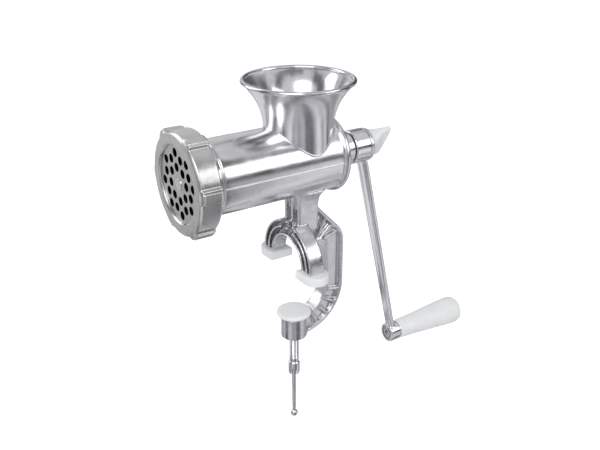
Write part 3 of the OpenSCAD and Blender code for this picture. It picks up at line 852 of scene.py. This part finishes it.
# Stem with a thread, whose radius dips by the thread's depth times a triangle wave of station
# over pitch less the turn; then the clevis end, cut by a slot.
def makeScrew():
    shape = screwShape
    top, bottom = high("clamp_screw")[2] / mm, low("clamp_screw")[2] / mm
    shoulder = low("clamp_cup")[2] / mm - 0.1
    neckZ = bottom + shape["clevisHeight"]
    angle = np.linspace(0, 2 * np.pi, 48, endpoint=False)[None, :]
    stem = np.linspace(shoulder - 0.6, neckZ + 2.0, 420)[:, None]
    wave = (stem / shape["pitch"] + angle / (2 * np.pi)) % 1.0
    fade = np.clip((shoulder - 1 - stem) / 2, 0, 1) * np.clip((stem - neckZ - 3) / 1.5, 0, 1)
    dip = shape["threadDepth"] * np.abs(wave * 2 - 1) * fade
    stemR = shape["radius"] - dip
    topPart = np.array([(0, top), (2.95, top), (2.95, shoulder), (3.6, shoulder)])
    clevis = shape["clevis"]
    lowPart = softOutline([(3.6, neckZ + 1.6), (3.6, neckZ + 0.6), (clevis, neckZ - 0.8),
                           (clevis, bottom + 2.0), (clevis - 1.6, bottom), (0, bottom)], 0.8)
    radius = [topPart[:, :1] + 0 * angle, stemR, lowPart[:, :1] + 0 * angle]
    height = [topPart[:, 1:] + 0 * angle, stem + 0 * angle, lowPart[:, 1:] + 0 * angle]
    radius, height = np.concatenate(radius), np.concatenate(height)
    points = np.stack([radius * np.cos(angle), radius * np.sin(angle), height], axis=-1) * mm
    screw = gridPiece("screwBlank", points, creaseAngle=30)
    turn = math.radians(shape["slotTurn"])
    side = np.array([math.cos(turn), math.sin(turn), 0])
    ahead = np.array([-math.sin(turn), math.cos(turn), 0])
    lift = np.array([0, 0, 1.0])
    half, slotTop, slotLow = shape["slotWidth"] / 2, bottom + shape["slotDepth"], bottom - 1
    arcTurn = np.linspace(0, np.pi, 12)
    outline = [side * half * np.cos(t) + lift * (slotTop - half + half * np.sin(t))
               for t in arcTurn]
    outline += [-side * half + lift * slotLow, side * half + lift * slotLow]
    cutter = bar("slotCutter", (np.array(outline) - ahead * 8) * mm, ahead * 16 * mm)
    return cutWith(screw, cutter, "threadedScrew", 30)


coat(place(makeScrew(), "screw", "zinced_steel", "clamp_screw"), brightSteel)


tommyShape = {"ball": 3.15}


# Disc, cup and tommy bar: softened outlines turned about their axes.
def makeClampParts():
    discLow, discTop = low("clamp_pad")[2] / mm, high("clamp_pad")[2] / mm
    disc = [(0, discLow), (13.5, discLow), (14.1, discLow + 0.7), (14.1, discTop - 1),
            (13.2, discTop), (0, discTop)]
    pad = turned("clampDisc", softOutline(disc, [0, .3, .5, .9, .9, 0], 6), "Z")
    coat(place(pad, "disc", "white_plastic", "clamp_pad"), whitePlastic)
    cupLow, cupTop = low("clamp_cup")[2] / mm, high("clamp_cup")[2] / mm
    cup = [(3.1, cupLow), (9.4, cupLow), (9.95, cupTop - 0.3), (9.7, cupTop), (3.1, cupTop)]
    cup = softOutline(cup, 0.3)
    piece = turned("clampCup", np.concatenate([cup, cup[:1]]), "Z", segments=96)
    coat(place(piece, "disc", "zinced_steel", "clamp_cup"), brightSteel)

    ballR = tommyShape["ball"]
    pivot, ballZ = pivotZ / mm, low("tommy_bar")[2] / mm + ballR
    angle = np.radians(np.linspace(-90, 62, 16))
    ball = [(ballR * math.cos(a), ballZ + ballR * math.sin(a)) for a in angle]
    barLine = [(0, ballZ - ballR)] + ball[1:]
    barLine += [(1.45, ballZ + 4.2), (1.62, ballZ + 6), (1.88, pivot - 6), (1.9, pivot - 2),
                (2.0, pivot), (1.7, pivot + 1.6), (0, pivot + 2.5)]
    tommy = turned("tommyBar", softOutline(barLine, 0.5), "Z", segments=64)
    coat(place(tommy, "bar", "zinced_steel", "tommy_bar"), brightSteel)


# The pin through the clevis: a softened outline turned, then laid along the slot's cross
# direction.
def makeCrossPin():
    half = 4.75
    line = softOutline([(0, -half), (1.25, -half), (1.25, half), (0, half)], 0.35) * mm
    angle = np.linspace(0, 2 * np.pi, 32, endpoint=False)
    turn = math.radians(screwShape["slotTurn"])
    along = line[:, 1:] + 0 * angle
    across = line[:, :1] * np.cos(angle)
    points = np.stack([along * math.cos(turn) - across * math.sin(turn),
                       along * math.sin(turn) + across * math.cos(turn),
                       line[:, :1] * np.sin(angle) + pivotZ], axis=-1)
    return gridPiece("crossPin", points)


makeClampParts()
coat(place(makeCrossPin(), "screw", "zinced_steel", "tommy_pin"), brightSteel)
print("clamp screw made")


# CAD nodes whose shape is right take a finish

# The knife's near-black finish is painted shade seen through the plate's holes.
finishes = {"cutting_plate": plateSteel, "knife_stud": brightSteel, "knife": bladePaintedShadeSteel,
            "plate_key": brightSteel, "rear_bush": bushBronze, "thrust_washer": darkFibre,
            "worm_shaft": brightSteel, "thumb_screw": brightSteel, "grip_washer": brightSteel}
for nodeName, finish in finishes.items():
    coat(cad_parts[nodeName], finish)


# Floor, lights and camera

studio = {"floorDrop": 0.0015, "floorSize": 6.0, "world": 0.74, "floorGlow": 0.55,
          "bandScale": 1.9}


# A level square under the tommy bar. The eye sees pale paper, and the metal mirrors a card with
# dark patches.
def makeFloor():
    half = studio["floorSize"] / 2
    level = low("tommy_bar")[2] - studio["floorDrop"]
    across = np.array([-half, half])
    x, y = np.meshgrid(across, across, indexing="ij")
    points = np.stack([x, y, np.full_like(x, level)], axis=-1)
    floor = gridPiece("paleFloor", points, wrapColumns=False)
    material, tree, shader, where = startMaterial("palePaper")
    shade = ranged(tree, noise(tree, where, 3.0), 0.3, 0.7, 0.0, 1.0)
    paper = blendColour(tree, shade, (0.93, 0.93, 0.93), (0.95, 0.95, 0.95))
    rays = tree.nodes.new("ShaderNodeLightPath")
    patches = noise(tree, compass(tree, where, 0.0), studio["bandScale"] * 1.3, detail=1.5)
    patches = ranged(tree, patches, 0.42, 0.58, 0.0, 1.0)
    card = blendColour(tree, patches, (0.17, 0.17, 0.185), (0.98, 0.98, 1.0))
    shown = blendColour(tree, rays.outputs["Is Glossy Ray"], paper, card)
    link(tree, shown, shader.inputs["Base Color"])
    shader.inputs["Emission Color"].default_value = (1.0, 1.0, 1.0, 1.0)
    glow = ranged(tree, rays.outputs["Is Camera Ray"], 0.0, 1.0, 0.0, studio["floorGlow"])
    link(tree, glow, shader.inputs["Emission Strength"])
    shader.inputs["Roughness"].default_value = 0.9
    shader.inputs["Specular IOR Level"].default_value = 0.0
    coat(floor, material)


# An area light aimed at a point.
def makeSoftbox(name, position, aim, size, power):
    data = bpy.data.lights.new(name, "AREA")
    data.shape = "RECTANGLE"
    data.size, data.size_y = size
    data.energy = power
    lamp = bpy.data.objects.new(name, data)
    bpy.context.scene.collection.objects.link(lamp)
    lamp.location = position
    lamp.rotation_euler = directionAngles(np.array(aim) - np.array(position))


# Turn that points an object's -Z along a direction, with its Y kept upright.
def directionAngles(toward):
    return Vector(toward).to_track_quat("-Z", "Y").to_euler()


# The direction of a point seen from the middle, flattened: (x, y, rise times z) brought to length
# one, so that a pattern on it stands in upright bands.
def compass(tree, where, rise):
    flatten = tree.nodes.new("ShaderNodeMapping")
    flatten.inputs["Scale"].default_value = (1.0, 1.0, rise)
    link(tree, where, flatten.inputs["Vector"])
    direction = tree.nodes.new("ShaderNodeVectorMath")
    direction.operation = "NORMALIZE"
    link(tree, flatten.outputs["Vector"], direction.inputs[0])
    return direction.outputs["Vector"]


# A studio round the object: bright above, softly banded at the sides, so that metal has something
# to show.
def makeWorld():
    world = bpy.data.worlds.new("softStudio")
    bpy.context.scene.world = world
    world.use_nodes = True
    tree = world.node_tree
    background = tree.nodes["Background"]
    where = tree.nodes.new("ShaderNodeTexCoord").outputs["Generated"]
    split = tree.nodes.new("ShaderNodeSeparateXYZ")
    link(tree, where, split.inputs["Vector"])
    bands = noise(tree, compass(tree, where, 0.30), studio["bandScale"], detail=1.5)
    tone = ranged(tree, bands, 0.44, 0.56, 0.0, 1.0)
    lift = ranged(tree, split.outputs["Z"], -0.1, 0.9, 0.0, 0.25)
    level = summed(tree, tone, lift)
    colour = blendColour(tree, level, (0.045, 0.045, 0.055), (0.92, 0.92, 0.94))
    ray = tree.nodes.new("ShaderNodeLightPath").outputs["Is Camera Ray"]
    link(tree, blendColour(tree, ray, colour, (1.5, 1.5, 1.5)), background.inputs["Color"])
    background.inputs["Strength"].default_value = studio["world"]
    bpy.context.scene.view_settings.view_transform = "Standard"


makeFloor()
makeWorld()
makeSoftbox("keyBox", (0.75, -0.85, 1.0), (0, 0, 0.05), (0.9, 0.9), 9.0)
makeSoftbox("fillBox", (-0.9, -0.7, 0.6), (0, 0, 0.05), (0.5, 1.2), 4.0)
makeSoftbox("rimBox", (1.15, 0.85, 0.72), (0, 0, 0.07), (0.9, 0.75), 4.5)

shot = {"azimuth": 56.86, "elevation": 24.15, "distance": 0.6397, "lens": 48.34,
        "aim": (-0.0086, 0.0116, 0.0302)}


# The camera stands back from the aim along its azimuth and elevation.
def makeCamera():
    around, up = math.radians(shot["azimuth"]), math.radians(shot["elevation"])
    level = math.cos(up)
    back = np.array([math.sin(around) * level, -math.cos(around) * level, math.sin(up)])
    data = bpy.data.cameras.new("productCamera")
    data.lens = shot["lens"]
    data.sensor_width = 36.0
    data.clip_start = 0.01
    camera = bpy.data.objects.new("productCamera", data)
    bpy.context.scene.collection.objects.link(camera)
    camera.location = np.array(shot["aim"]) + back * shot["distance"]
    camera.rotation_euler = directionAngles(-back)
    bpy.context.scene.camera = camera


makeCamera()
print("stage set")
